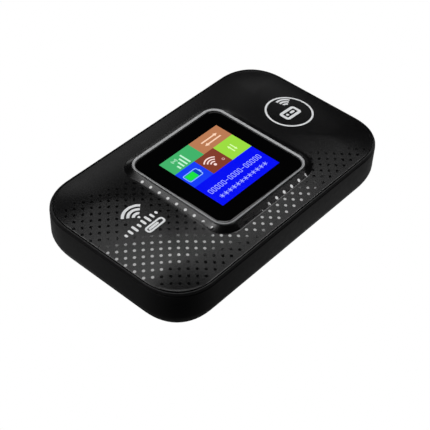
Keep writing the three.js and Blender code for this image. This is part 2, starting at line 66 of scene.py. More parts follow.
COVER_HIGH = corners_of("rear_cover")[1]
BEZEL_HIGH = corners_of("screen_bezel")[1]
GLASS_LOW, GLASS_HIGH = corners_of("cover_glass")
KEY_LOW, KEY_HIGH = corners_of("power_button")
USB_LOW, USB_HIGH = corners_of("usb_socket")
CONTACT_LOW, CONTACT_HIGH = corners_of("battery_contact_block")
HOLDER_LOW, HOLDER_HIGH = corners_of("sim_holder")
CARD_LOW = corners_of("sim_card")[0]
RESET = middle_of("reset_button")
SCREWS = [middle_of(f"frame_screw_{i}") for i in range(1, 7)]
FIT = 0.3  # the gap between neighbouring parts

# The case's outline and the rear cover.
HALF_LENGTH = COVER_HIGH.x
HALF_WIDTH = COVER_HIGH.y
CORNER = 14.7
CORNER_POWER = 2.3  # 2 would be round, and more is squarer
WALL = 1.4
COVER_TOP = COVER_HIGH.z
COVER_FLOOR = 1.5
LIP_DEPTH = 0.85  # the wall's thickness above LIP_START
LIP_START = 12.8
UNDER_SIZE = 3.7  # the wall's lower edge curves in this far
UNDER_HEIGHT = 5.9  # and starts to curve at this height
UNDER_POWER = 1.5
USB_HOLE_HALF_Y, USB_HOLE_HALF_Z = 4.82, 1.95
PRY_HALF, PRY_DEPTH, PRY_HEIGHT = 6, 0.6, 0.7

# The frame inside the cover, and its rim around the panel.
FRAME_INSET = 1.8
FRAME_WALL = 1.2
FRAME_INSIDE = FRAME_INSET + FRAME_WALL
FRAME_BOTTOM = 6.5
FRAME_TOP = 14.45
DECK_BOTTOM, DECK_TOP = 7.3, 8.3
BAY_X = -10
BAY_HALF_X, BAY_HALF_Y = 30.5, 20.5
BAY_CORNER = 1.5
BAY_WALL = 1.0
BAY_BOTTOM = 2.3
RIM_BOTTOM, RIM_TOP = 14.2, 14.95
RIM_WIDTH = 0.76
RIM_CREST = 0.42  # the rim slopes up to its crest from the case's side
SCREW_HOLE, SCREW_HEAD_HOLE, SCREW_SEAT = 1.0, 1.75, 2.4
RESET_HOLE, RESET_POST = 1.35, 2.6
CARD_ROOM = 13.5  # for the card to slide out

# The power key.
KEY_FLANGE = 1.0
FLANGE_THICK = 0.6
DISH_DEPTH, DISH_EDGE = 0.14, 0.42
KEY_GAP_LOW, KEY_GAP_HIGH = KEY_LOW.x + KEY_FLANGE - FIT, KEY_HIGH.x - KEY_FLANGE + FIT

# The panel, which rises from its edge towards the middle, and the tubes under it.
PANEL_INSET = 1.05
PANEL_BOTTOM = 14.55
PANEL_EDGE = 15.0
PANEL_RISE = 1.7
PANEL_SPREAD = 25.0  # the rise is complete this far in from the edge
PANEL_POWER = 2.2
PANEL_THICK = 1.25
PANEL_FILLET = 0.08
BOSS_BOTTOM = 10.8
BOSS_OUTER, BOSS_INNER = 2.0, 0.9

# The bezel, the panel's collar around it and the window in it.
BEZEL_HALF = BEZEL_HIGH.x
BEZEL_TOP = BEZEL_HIGH.z
BEZEL_CORNER = 4.5
BEZEL_WIDTH = 0.8
BEZEL_DIP = 0.3  # its top slopes down this much towards the window
BEZEL_SEAT = GLASS_LOW.z - 0.1
BEZEL_SHELF = 1.3  # the window rests on this width
COLLAR_TOP = 17.3
COLLAR_GAP = 0.15
COLLAR_HALF = BEZEL_HALF + COLLAR_GAP
COLLAR_WIDTH = 2.1
COLLAR_FILLET = 0.05
GLASS_TOP = GLASS_HIGH.z

# ---- Camera, at the photograph's angle ----

CAMERA_AZIMUTH = math.radians(-50.407)
CAMERA_ELEVATION = math.radians(44.245)
CAMERA_ROLL = math.radians(2.748)
CAMERA_DISTANCE = 342.52
CAMERA_ASIDE = 0.534
CAMERA_ABOVE = 2.768
CAMERA_LENS = 93.94


def make_camera():
    data = bpy.data.cameras.new("camera")
    data.lens = CAMERA_LENS
    data.sensor_width = 36
    data.clip_start, data.clip_end = 0.01, 50
    camera = bpy.data.objects.new("camera", data)
    bpy.context.scene.collection.objects.link(camera)
    bpy.context.scene.camera = camera
    flat = math.cos(CAMERA_ELEVATION)
    back = Vector((
        math.sin(CAMERA_AZIMUTH) * flat,
        -math.cos(CAMERA_AZIMUTH) * flat,
        math.sin(CAMERA_ELEVATION),
    ))
    level = (-back).cross(Vector((0, 0, 1))).normalized()
    upright = level.cross(-back)
    right = math.cos(CAMERA_ROLL) * level + math.sin(CAMERA_ROLL) * upright
    up = math.cos(CAMERA_ROLL) * upright - math.sin(CAMERA_ROLL) * level
    place = back * CAMERA_DISTANCE - right * CAMERA_ASIDE - up * CAMERA_ABOVE
    turn = Matrix((right, up, back)).transposed().to_4x4()
    camera.matrix_world = Matrix.Translation(place * MM) @ turn


# ---- Materials ----


def material(name, color, roughness, metallic=0.0, specular=0.5):
    """A plain Principled material, for the functions below to add texture to."""
    made = bpy.data.materials.new(name)
    made.use_nodes = True
    made.diffuse_color = (*color, 1)
    shader = shader_of(made)
    shader.inputs["Base Color"].default_value = (*color, 1)
    shader.inputs["Roughness"].default_value = roughness
    shader.inputs["Metallic"].default_value = metallic
    shader.inputs["Specular IOR Level"].default_value = specular
    return made


def shader_of(made):
    return made.node_tree.nodes["Principled BSDF"]


NOISE_RANGE = (0.3, 0.7)  # a noise texture seldom leaves this range


def noise(made, scale, stretch=(1, 1, 1)):
    """A noise texture over the piece; scale is in bumps per metre."""
    nodes, links = made.node_tree.nodes, made.node_tree.links
    place = nodes.new("ShaderNodeTexCoord")
    mapping = nodes.new("ShaderNodeMapping")
    mapping.inputs["Scale"].default_value = stretch
    texture = nodes.new("ShaderNodeTexNoise")
    texture.inputs["Scale"].default_value = scale
    texture.inputs["Detail"].default_value = 3
    links.new(place.outputs["Object"], mapping.inputs["Vector"])
    links.new(mapping.outputs["Vector"], texture.inputs["Vector"])
    return texture.outputs["Fac"]


def map_range(tree, value, from_range, to_range):
    """Maps a value from one (low, high) range to another, and holds it at both ends."""
    node = tree.nodes.new("ShaderNodeMapRange")
    limits = zip(("From Min", "From Max", "To Min", "To Max"), (*from_range, *to_range))
    for socket, limit in limits:
        node.inputs[socket].default_value = limit
    tree.links.new(value, node.inputs["Value"])
    return node.outputs["Result"]


def vary_roughness(made, scale, low, high, stretch=(1, 1, 1)):
    tree = made.node_tree
    level = map_range(tree, noise(made, scale, stretch), NOISE_RANGE, (low, high))
    tree.links.new(level, shader_of(made).inputs["Roughness"])


def vary_color(made, scale, first, second, stretch=(1, 1, 1)):
    nodes, links = made.node_tree.nodes, made.node_tree.links
    mix = nodes.new("ShaderNodeMix")
    mix.data_type = "RGBA"
    mix.inputs["A"].default_value = (*first, 1)
    mix.inputs["B"].default_value = (*second, 1)
    share = map_range(made.node_tree, noise(made, scale, stretch), NOISE_RANGE, (0, 1))
    links.new(share, mix.inputs["Factor"])
    links.new(mix.outputs["Result"], shader_of(made).inputs["Base Color"])


def grain(made, scale, depth, strength):
    """Fine grain as bump; depth is its height in millimetres."""
    nodes, links = made.node_tree.nodes, made.node_tree.links
    bump = nodes.new("ShaderNodeBump")
    bump.inputs["Strength"].default_value = strength
    bump.inputs["Distance"].default_value = depth * MM
    links.new(noise(made, scale), bump.inputs["Height"])
    links.new(bump.outputs["Normal"], shader_of(made).inputs["Normal"])


def two_tone(name, first, second, roughness, scale=600, metallic=0.0, stretch=(1, 1, 1)):
    """A finish for small and inner pieces: two close tones and a varied roughness."""
    made = material(name, first, roughness, metallic, specular=0.3)
    vary_color(made, scale, first, second, stretch)
    vary_roughness(made, scale * 2, roughness * 0.85, roughness * 1.15, stretch)
    return made


def case_plastic():
    """Black plastic with a fine matt grain."""
    made = material("case_plastic", (0.0075, 0.0075, 0.008), 0.4, specular=0.3)
    vary_roughness(made, 700, 0.36, 0.46)
    grain(made, 5200, 0.012, 0.3)
    return made


def varied(name, color, low, high, scale, specular=0.3, metallic=0.0):
    """A finish of one colour with a roughness that varies a little, from low to high."""
    made = material(name, color, (low + high) / 2, metallic, specular)
    vary_roughness(made, scale, low, high)
    return made


def board_mask():
    """Green solder mask with copper tracks under it and a few bare pads."""
    made = material("board_mask", (0.01, 0.09, 0.035), 0.35)
    nodes, links = made.node_tree.nodes, made.node_tree.links
    place = nodes.new("ShaderNodeTexCoord")
    cells = nodes.new("ShaderNodeTexVoronoi")
    cells.distance = "MANHATTAN"
    cells.inputs["Scale"].default_value = 420
    cells.inputs["Randomness"].default_value = 0.6
    links.new(place.outputs["Object"], cells.inputs["Vector"])
    ramp = nodes.new("ShaderNodeValToRGB")
    ramp.color_ramp.interpolation = "CONSTANT"
    stops = ramp.color_ramp.elements
    stops[0].color = (0.55, 0.5, 0.4, 1)
    stops[1].position = 0.12
    stops[1].color = (0.008, 0.07, 0.03, 1)
    stops.new(0.5).color = (0.02, 0.15, 0.06, 1)
    links.new(cells.outputs["Distance"], ramp.inputs["Fac"])
    links.new(ramp.outputs["Color"], shader_of(made).inputs["Base Color"])
    grain(made, 1500, 0.02, 0.3)
    return made


def lit_paint(name, color):
    """One colour of the screen's picture, which glows."""
    made = material(name, tuple(channel * 0.1 for channel in color), 0.12, specular=0.3)
    shader_of(made).inputs["Emission Color"].default_value = (*color, 1)
    shader_of(made).inputs["Emission Strength"].default_value = 1
    vary_roughness(made, 300, 0.1, 0.14)
    return made


CASE = case_plastic()
PANEL = varied("panel_print", (0.0012, 0.0012, 0.0014), 0.225, 0.245, 260)
DOT = varied("gloss_dot", (0.0006, 0.0006, 0.0007), 0.04, 0.06, 900, 1.0)
INK = varied("white_ink", (0.84, 0.85, 0.86), 0.4, 0.5, 2000, 0.4)
SILVER = varied("satin_silver", (0.44, 0.445, 0.45), 0.66, 0.7, 1500, 0.5, 1.0)
GLASS = varied("window_glass", (0.0004, 0.0004, 0.0005), 0.03, 0.05, 120)
BOARD = board_mask()
INNER = two_tone("frame_plastic", (0.005, 0.005, 0.0055), (0.007, 0.007, 0.0075), 0.5)
CAN = two_tone("tinned_can", (0.56, 0.56, 0.57), (0.66, 0.66, 0.66), 0.32, 400, 1.0, (1, 12, 1))
RESIN = two_tone("chip_resin", (0.012, 0.012, 0.013), (0.02, 0.02, 0.02), 0.55, 3000)
NYLON = two_tone("natural_nylon", (0.62, 0.58, 0.48), (0.68, 0.64, 0.54), 0.5)
FOIL = two_tone("antenna_foil", (0.74, 0.42, 0.25), (0.8, 0.5, 0.32), 0.25, 900, 1.0)
GOLD = two_tone("gold_flash", (0.83, 0.62, 0.25), (0.88, 0.7, 0.35), 0.22, 1200, 1.0)
STEEL = two_tone("nickel_steel", (0.55, 0.55, 0.56), (0.62, 0.62, 0.63), 0.28, 900, 1.0)
AMBER = two_tone("amber_film", (0.42, 0.15, 0.02), (0.5, 0.2, 0.03), 0.3, 500)
PAPER = two_tone("blank_label", (0.76, 0.76, 0.73), (0.8, 0.8, 0.78), 0.55, 2500)
WRAP = two_tone("battery_wrap", (0.05, 0.055, 0.062), (0.06, 0.066, 0.074), 0.38, 350)
DARK_INK = two_tone("dark_ink", (0.05, 0.05, 0.055), (0.08, 0.08, 0.085), 0.5, 4000)
GUIDE = two_tone("light_guide", (0.75, 0.75, 0.72), (0.8, 0.8, 0.78), 0.35, 400)

# How CAD nodes' names start, their finish, and their bevels' width. The first match counts.
NODE_LOOKS = [
    ("lcd_panel", GLASS, 0.08),
    ("lcd_backlight", GUIDE, 0.08),
    ("display_flex", AMBER, 0.03),
    ("display_connector", NYLON, 0.1),
    ("main_board", BOARD, 0.05),
    (("main_antenna", "wifi_antenna", "diversity_antenna"), FOIL, 0.03),
    (("baseband_shield", "radio_shield", "wifi_shield"), CAN, 0.12),
    ("sim_holder", CAN, 0.06),
    ("sim_card", PAPER, 0.08),
    ("power_switch_stem", NYLON, 0.08),
    ("reset_switch_stem", NYLON, 0.06),
    ("reset_button", NYLON, 0.12),
    ("power_switch", STEEL, 0.08),
    (("reset_switch", "usb_socket", "frame_screw"), STEEL, 0.06),
    ("battery_cell", WRAP, 0.25),
    ("battery_end_cap", RESIN, 0.15),
    ("battery_contact_block", RESIN, 0.12),
    ("battery_spring", GOLD, 0.05),
    ("battery_terminal", GOLD, 0.04),
    (("battery_label", "rating_label"), PAPER, 0.02),
    ("", RESIN, 0.08),
]
NODE_SHARP_DEGREES = 35
PIECE_SHARP_DEGREES = 32

# ---- Mesh helpers ----

# An outline has one point on each ray. A slice such as [::3] thins it.
RAYS = np.linspace(0, 2 * math.pi, 480, endpoint=False)
HALVINGS = 40  # enough to find where a ray meets an outline


def shade(mesh):
    """Smooth except across sharp edges."""
    mesh.shade_smooth()
    mesh.set_sharp_from_angle(angle=math.radians(PIECE_SHARP_DEGREES))


def mesh_object(name, vertices, faces, finish):
    """A new piece from vertices in millimetres."""
    mesh = bpy.data.meshes.new(name)
    mesh.from_pydata([Vector(v) * MM for v in vertices], [], faces)
    mesh.materials.append(finish)
    mesh.update()
    shade(mesh)
    piece = bpy.data.objects.new(name, mesh)
    bpy.context.scene.collection.objects.link(piece)
    return piece


def place_piece(piece, body, slot, *nodes):
    """Hangs a piece on the body that it rides on, and hides the CAD nodes that it stands for. The
    slot is not used.
    """
    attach(piece, body)
    if nodes:
        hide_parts(*nodes)


def outline(half_x, half_y, corner, power=2.0):
    """A rectangle with curved corners, as the points where rays from its middle meet it."""
    direction = np.column_stack([np.cos(RAYS), np.sin(RAYS)])
    low, high = np.zeros(len(RAYS)), np.full(len(RAYS), math.hypot(half_x, half_y))
    straight = np.array([half_x - corner, half_y - corner])
    for _ in range(HALVINGS):
        middle = (low + high) / 2
        over = np.clip(np.abs(direction * middle[:, None]) - straight, 0, None)
        inside = ((over / corner) ** power).sum(1) <= 1
        low, high = np.where(inside, middle, low), np.where(inside, high, middle)
    return direction * low[:, None]


def case_outline(inset):
    corner = max(CORNER - inset, 0.5)
    return outline(HALF_LENGTH - inset, HALF_WIDTH - inset, corner, CORNER_POWER)


def square_outline(inset):
    """The bezel's outline, drawn in by inset, or out where inset is below 0."""
    return outline(BEZEL_HALF - inset, BEZEL_HALF - inset, max(BEZEL_CORNER - inset, 0.5))


def at_height(flat, z):
    return np.column_stack([flat, np.broadcast_to(z, len(flat))])


def between(first, second, shares):
    """Flat outlines from the first to the second."""
    return [first + (second - first) * share for share in shares]


def rounded(corners, radii, steps=3):
    """A path of (inset, z) corners, each rounded by its radius. The ends stay as they are."""
    path = [np.array(corners[0], float)]
    for i in range(1, len(corners) - 1):
        here = np.array(corners[i], float)
        before, after = np.array(corners[i - 1], float), np.array(corners[i + 1], float)
        if radii[i] == 0:
            path.append(here)
            continue
        start = here + (before - here) / np.linalg.norm(before - here) * radii[i]
        end = here + (after - here) / np.linalg.norm(after - here) * radii[i]
        for step in range(steps + 1):
            t = step / steps
            path.append((1 - t) ** 2 * start + 2 * t * (1 - t) * here + t * t * end)
    path.append(np.array(corners[-1], float))
    return path


def loft(name, rings, finish, loop=False):
    """A closed skin through rings with the same number of points, capped at both ends, or
    joined from last to first where loop is set."""
    count = len(rings[0])
    faces = []
    for ring in range(len(rings) if loop else len(rings) - 1):
        a, b = ring * count, (ring + 1) % len(rings) * count
        for i in range(count):
            j = (i + 1) % count
            faces.append((a + i, a + j, b + j, b + i))
    if not loop:
        last = (len(rings) - 1) * count
        faces.append(tuple(reversed(range(count))))
        faces.append(tuple(range(last, last + count)))
    return mesh_object(name, np.vstack(rings), faces, finish)


def box_mesh(low, high):
    """A box for cutting or joining."""
    spots = list(itertools.product(*zip(low, high)))
    faces = [(0, 1, 3, 2), (4, 6, 7, 5), (0, 4, 5, 1), (2, 3, 7, 6), (0, 2, 6, 4), (1, 5, 7, 3)]
    return mesh_object("tool", spots, faces, CASE)


def combine(piece, tools, operation):
    """Joins tools to a piece or cuts them away, and removes the tools."""
    group = bpy.data.collections.new("tools")
    for tool in tools:
        group.objects.link(tool)
    modifier = piece.modifiers.new("combine", "BOOLEAN")
    modifier.operation = operation
    modifier.solver = "EXACT"
    modifier.operand_type = "COLLECTION"
    modifier.collection = group
    evaluated = piece.evaluated_get(bpy.context.evaluated_depsgraph_get())
    combined = bpy.data.meshes.new_from_object(evaluated)
    piece.modifiers.clear()
    piece.data = combined
    for tool in tools:
        bpy.data.objects.remove(tool)
    bpy.data.collections.remove(group)
    while len(combined.materials) > 1:
        combined.materials.pop()
    shade(combined)


def rounded_tool(axis, centre, half_u, half_v, corner, low, high):
    """A bar with a rounded section, along X (axis 0) or Z (axis 2); u and v are the other two."""
    flat = outline(half_u, half_v, corner)[::8]
    rings = []
    for along in (low, high):
        ring = np.empty((len(flat), 3))
        ring[:, axis] = along
        u, v = [other for other in range(3) if other != axis]
        ring[:, u] = centre[0] + flat[:, 0]
        ring[:, v] = centre[1] + flat[:, 1]
        rings.append(ring)
    return loft("tool", rings, CASE)


# ---- The swollen top surface ----


def depth_in(x, y, half_x, half_y, corner):
    """How far points lie inside a rectangle with round corners."""
    over_x, over_y = np.abs(x) - (half_x - corner), np.abs(y) - (half_y - corner)
    outside = np.hypot(np.clip(over_x, 0, None), np.clip(over_y, 0, None))
    return corner - outside - np.clip(np.maximum(over_x, over_y), None, 0)


def panel_depth(x, y):
    inset = PANEL_INSET
    return depth_in(x, y, HALF_LENGTH - inset, HALF_WIDTH - inset, CORNER - inset)


def crown(x, y):
    """Height of the panel, leaving out its collar."""
    share = np.clip(panel_depth(x, y) / PANEL_SPREAD, 0, 1)
    return PANEL_EDGE + PANEL_RISE * (1 - (1 - share) ** PANEL_POWER)


def collar_foot(x, y):
    """The nearest points on the collar's foot, and how far inside it the given points lie."""
    half, corner = COLLAR_HALF + COLLAR_WIDTH, BEZEL_CORNER + COLLAR_WIDTH
    core = half - corner
    over_x, over_y = np.clip(np.abs(x) - core, 0, None), np.clip(np.abs(y) - core, 0, None)
    grow = corner / np.maximum(np.hypot(over_x, over_y), 0.1)
    foot_x = np.sign(x) * (np.minimum(np.abs(x), core) + over_x * grow)
    foot_y = np.sign(y) * (np.minimum(np.abs(y), core) + over_y * grow)
    return foot_x, foot_y, depth_in(x, y, half, half, corner)


def panel_height(x, y):
    """Height of the panel with the collar that slopes up from it to the bezel."""
    x, y = np.asarray(x, float), np.asarray(y, float)
    foot_x, foot_y, depth = collar_foot(x, y)
    foot = crown(foot_x, foot_y)
    low = crown(x, y)
    high = foot + (COLLAR_TOP - foot) * np.minimum(depth / COLLAR_WIDTH, 1)
    return (low + high + np.sqrt((low - high) ** 2 + COLLAR_FILLET ** 2)) / 2


# ---- Thin printed shapes ----


class Print:
    """Flat shapes in ink or lit paint, each a thin closed body that follows a surface."""

    def __init__(self, height, thickness=0.035, sunk=0.03):
        self.height, self.thickness, self.sunk = height, thickness, sunk
        self.vertices, self.faces = [], []

    def _layers(self, flat):
        """Adds a shape's top and bottom points and gives their first indices."""
        flat = np.asarray(flat, float)
        z = self.height(flat[:, 0], flat[:, 1])
        top = len(self.vertices)
        self.vertices += list(at_height(flat, z + self.thickness))
        bottom = len(self.vertices)
        self.vertices += list(at_height(flat, z - self.sunk))
        return top, bottom

    def patch(self, points):
        """A filled convex shape; its points run counter-clockwise."""
        count = len(points)
        points = np.vstack([points, np.mean(points, axis=0)])
        top, bottom = self._layers(points)
        for i in range(count):
            j = (i + 1) % count
            self.faces.append((top + i, top + j, top + count))
            self.faces.append((bottom + j, bottom + i, bottom + count))
            self.faces.append((top + j, top + i, bottom + i, bottom + j))

    def disc(self, x, y, radius):
        turn = np.linspace(0, 2 * math.pi, 16, endpoint=False)
        self.patch(np.column_stack([x + radius * np.cos(turn), y + radius * np.sin(turn)]))

    def bar(self, start, end, width, round_ends=True):
        """A straight stroke."""
        start, end = np.array(start, float), np.array(end, float)
        heading = math.atan2(end[1] - start[1], end[0] - start[0])
        half = width / 2
        if not round_ends:
            side = half * np.array([-math.sin(heading), math.cos(heading)])
            self.patch([start - side, end - side, end + side, start + side])
            return
        sweep = np.linspace(-math.pi / 2, math.pi / 2, 7)
        cap = np.column_stack([np.cos(heading + sweep), np.sin(heading + sweep)]) * half
        self.patch(np.vstack([end + cap, start - cap]))

    def band(self, inner, outer, closed):
        """The stretch between two lines of points that run the same way, inner on the left."""
        count = len(inner)
        top, bottom = self._layers(np.vstack([inner, outer]))
        top_out, bottom_out = top + count, bottom + count
        for i in range(count if closed else count - 1):
            j = (i + 1) % count
            self.faces.append((top + i, top_out + i, top_out + j, top + j))
            self.faces.append((bottom + j, bottom_out + j, bottom_out + i, bottom + i))
            self.faces.append((top + j, bottom + j, bottom + i, top + i))
            self.faces.append((top_out + i, bottom_out + i, bottom_out + j, top_out + j))
        if not closed:
            last = count - 1
            self.faces.append((top, bottom, bottom_out, top_out))
            self.faces.append((top_out + last, bottom_out + last, bottom + last, top + last))

    def arc(self, x, y, radius, width, start=0, end=360):
        """A curved stroke around a centre; angles are in degrees from +X."""
        closed = end - start >= 360
        steps = max(6, int(abs(end - start) / 8))
        turn = np.radians(np.linspace(start, end, steps, endpoint=not closed))
        ray = np.column_stack([np.cos(turn), np.sin(turn)])
        middle = np.array([x, y])
        self.band(middle + ray * (radius - width / 2), middle + ray * (radius + width / 2), closed)

    def border(self, low, high, width, corner):
        """A rounded box drawn with a stroke."""
        middle = (np.array(low) + high) / 2
        half = (np.array(high) - low) / 2
        turn = outline(half[0], half[1], corner)[::10]
        inner = outline(half[0] - width, half[1] - width, max(corner - width, 0.02))[::10]
        self.band(middle + inner, middle + turn, True)

    def piece(self, name, finish, body="device"):
        made = mesh_object(name, self.vertices, self.faces, finish)
        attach(made, body)
        return made


# ---- Rear cover ----


def under_curve(size, height):
    """(inset, height) pairs of a wall's curved lower edge, from the floor up to the wall."""
    pairs = []
    for angle in np.linspace(0, math.pi / 2, 15):
        inset = size * (1 - math.sin(angle) ** (2 / UNDER_POWER))
        up = height * (1 - math.cos(angle) ** (2 / UNDER_POWER))
        pairs.append((inset, up))
    return pairs


def rear_cover():
    """A tub with a thinner lip and a curved lower edge, a hole for USB and two notches."""
    outside = [(UNDER_SIZE + 0.3, 0)] + under_curve(UNDER_SIZE, UNDER_HEIGHT)
    top = rounded(
        [outside[-1], (0, COVER_TOP), (LIP_DEPTH, COVER_TOP), (LIP_DEPTH, LIP_START),
         (WALL, LIP_START), (WALL, COVER_FLOOR + UNDER_HEIGHT)],
        [0, 0.4, 0.08, 0.1, 0.1, 0],
    )
    inside = [
        (WALL + inset, COVER_FLOOR + up)
        for inset, up in reversed(under_curve(UNDER_SIZE - 0.4, UNDER_HEIGHT - 1.1))
    ]
    profile = outside + top[1:-1] + inside + [(WALL + UNDER_SIZE, COVER_FLOOR)]
    piece = loft("rear_cover_shell", [at_height(case_outline(i)[::2], z) for i, z in profile], CASE)

    usb_hole = rounded_tool(
        0, (0, (USB_LOW.z + USB_HIGH.z) / 2), USB_HOLE_HALF_Y, USB_HOLE_HALF_Z,
        USB_HOLE_HALF_Z - 0.01, HALF_LENGTH - 4, HALF_LENGTH + 1,
    )
    key_notch = box_mesh(
        (KEY_GAP_LOW, HALF_WIDTH - 3, KEY_LOW.z - FIT),
        (KEY_GAP_HIGH, HALF_WIDTH + 1, COVER_TOP + 1),
    )
    pry_notch = box_mesh(
        (-PRY_HALF, HALF_WIDTH - PRY_DEPTH, COVER_TOP - PRY_HEIGHT),
        (PRY_HALF, HALF_WIDTH + 1, COVER_TOP + 1),
    )
    combine(piece, [usb_hole, key_notch, pry_notch], "DIFFERENCE")
    place_piece(piece, "rear_shell", "case_black", "rear_cover")


# ---- Frame ----


def round_bar(centre, radius, low, high):
    """An upright round bar for cutting or joining."""
    return rounded_tool(2, centre, radius, radius, radius, low, high)


def at_screws(radius, low, high):
    return [round_bar(screw, radius, low, high) for screw in SCREWS]


def bay_wall():
    """The wall around the battery, up into the deck."""
    top = DECK_TOP - 0.5
    profile = rounded(
        [(0, top), (0, BAY_BOTTOM), (BAY_WALL, BAY_BOTTOM), (BAY_WALL, top)],
        [0, 0.3, 0.3, 0],
    )
    rings = [
        at_height(outline(BAY_HALF_X + out, BAY_HALF_Y + out, BAY_CORNER + out)[::3] + (BAY_X, 0), z)
        for out, z in profile
    ]
    return loft("tool", rings, INNER, loop=True)


def frame_rim():
    """The rim around the panel, which shows outside the cover."""
    shelf = LIP_DEPTH + FIT
    low = RIM_BOTTOM - 0.2
    profile = rounded(
        [(FRAME_INSET, low), (shelf, low), (shelf, RIM_BOTTOM), (0.08, RIM_BOTTOM),
         (0.12, RIM_BOTTOM + 0.1), (RIM_CREST, RIM_TOP), (RIM_WIDTH, RIM_TOP),
         (RIM_WIDTH, FRAME_TOP), (FRAME_INSET, FRAME_TOP)],
        [0, 0, 0.05, 0.04, 0.03, 0.12, 0.1, 0.05, 0],
    )
    piece = loft("frame_rim", [at_height(case_outline(i), z) for i, z in profile], INNER, loop=True)
    place_piece(piece, "device", "frame_black", "mid_frame")


def frame_body():
    """The wall below the rim, the deck and the battery bay, with their windows and holes."""
    inside, shelf = FRAME_INSIDE, LIP_DEPTH + FIT + 0.02
    top = FRAME_TOP - 0.02
    profile = rounded(
        [(inside + 1, DECK_BOTTOM), (inside, DECK_BOTTOM), (inside, FRAME_BOTTOM),
         (FRAME_INSET, FRAME_BOTTOM), (FRAME_INSET, LIP_START + FIT), (shelf, LIP_START + FIT),
         (shelf, top), (inside, top), (inside, DECK_TOP), (inside + 1, DECK_TOP)],
        [0, 0.2, 0.3, 0.3, 0.1, 0.15, 0, 0.1, 0.2, 0], steps=2,
    )
    piece = loft("frame_body", [at_height(case_outline(i)[::3], z) for i, z in profile], INNER)

    in_deck, over_deck = DECK_TOP - 0.5, DECK_TOP + 1
    post = round_bar(RESET, RESET_POST, DECK_BOTTOM - 0.6, in_deck)
    seats = at_screws(SCREW_SEAT, DECK_BOTTOM - 0.9, in_deck)
    combine(piece, [bay_wall(), post] + seats, "UNION")

    contact_gap = box_mesh(
        (CONTACT_LOW.x - 0.7, CONTACT_LOW.y - 1, 0),
        (CONTACT_HIGH.x + 1.5, CONTACT_HIGH.y + 1, over_deck),
    )
    sim_gap = box_mesh(
        (HOLDER_LOW.x - 0.5, CARD_LOW.y - CARD_ROOM, DECK_BOTTOM - 1),
        (HOLDER_HIGH.x + 0.5, HOLDER_HIGH.y + 1.5, over_deck),
    )
    usb_window = box_mesh(
        (HALF_LENGTH - 6, USB_LOW.y - 0.4, USB_LOW.z - 0.2),
        (HALF_LENGTH + 1, USB_HIGH.y + 0.4, USB_HIGH.z + 0.4),
    )
    key_window = box_mesh(
        (KEY_GAP_LOW, HALF_WIDTH - 5, KEY_LOW.z - FIT),
        (KEY_GAP_HIGH, HALF_WIDTH + 1, KEY_HIGH.z + FIT),
    )
    reset_hole = round_bar(RESET, RESET_HOLE, 0, over_deck)
    gaps = [contact_gap, sim_gap, usb_window, key_window, reset_hole]
    holes = at_screws(SCREW_HOLE, 0, over_deck) + at_screws(SCREW_HEAD_HOLE, 0, DECK_BOTTOM + 0.1)
    combine(piece, gaps + holes, "DIFFERENCE")
    place_piece(piece, "device", "frame_black", "mid_frame")


# ---- Power key ----


def power_key():
    """A pill-shaped key with a shallow dish in its face and a flange that keeps it in the case."""
    half_x, half_z = (KEY_HIGH.x - KEY_LOW.x) / 2, (KEY_HIGH.z - KEY_LOW.z) / 2
    back, flange_top, face = KEY_LOW.y, KEY_LOW.y + FLANGE_THICK, KEY_HIGH.y
    flange = [(half_x - 0.1, half_z - 0.1, 0.2, back), (half_x, half_z, 0.3, back + 0.1),
              (half_x, half_z, 0.3, flange_top)]
    key_x, key_z = half_x - KEY_FLANGE, half_z - 0.04
    profile = rounded(
        [(0, flange_top), (0, face), (DISH_EDGE, face), (1.25, face - DISH_DEPTH)],
        [0, 0.3, 0.1, 0],
    )
    pill = [(key_x - inset, key_z - inset, key_z - inset - 0.01, y) for inset, y in profile]
    rings = []
    for wide, tall, corner, y in flange + pill:
        flat = outline(wide, tall, corner)[::-4]
        rings.append(np.column_stack([flat[:, 0], np.full(len(flat), y), flat[:, 1]]))
    middle = ((KEY_LOW.x + KEY_HIGH.x) / 2, 0, (KEY_LOW.z + KEY_HIGH.z) / 2)
    piece = loft("power_key_cap", [ring + middle for ring in rings], CASE)
    place_piece(piece, "power_key", "case_black", "power_button")


# ---- Top panel ----


def top_panel():
    """The swollen skin with its collar, open under the bezel, and its underside."""
    edge = case_outline(PANEL_INSET)
    collar = -COLLAR_GAP - COLLAR_WIDTH
    foot, above_foot = square_outline(collar - 0.04), square_outline(collar + 0.04)
    lip, hole = square_outline(-0.28), square_outline(-0.1)
    under, rib = case_outline(FRAME_INSIDE + 0.4), square_outline(-1.35)

    first = case_outline(PANEL_INSET + PANEL_FILLET)
    shares = np.linspace(0, 1, 44) ** 1.25
    flats = between(first, foot, shares) + between(above_foot, lip, np.linspace(0, 1, 14))
    edge_top = panel_height(edge[:, 0], edge[:, 1])
    eased = 0.3 * PANEL_FILLET
    rings = [
        at_height(under, PANEL_BOTTOM),
        at_height(edge, PANEL_BOTTOM),
        at_height(edge, edge_top - PANEL_FILLET),
        at_height(case_outline(PANEL_INSET + eased), edge_top - eased),
    ]
    rings += [at_height(flat, panel_height(flat[:, 0], flat[:, 1])) for flat in flats]
    rings += [
        at_height(square_outline(-0.16), COLLAR_TOP - 0.03),
        at_height(hole, COLLAR_TOP - 0.12),
        at_height(hole, PANEL_BOTTOM),
        at_height(rib, PANEL_BOTTOM),
    ]
    for flat in between(rib, under, np.linspace(0, 1, 12)):
        rings.append(at_height(flat, crown(flat[:, 0], flat[:, 1]) - PANEL_THICK))
    piece = loft("top_panel_skin", rings, PANEL, loop=True)
    place_piece(piece, "device", "panel_black", "top_panel")


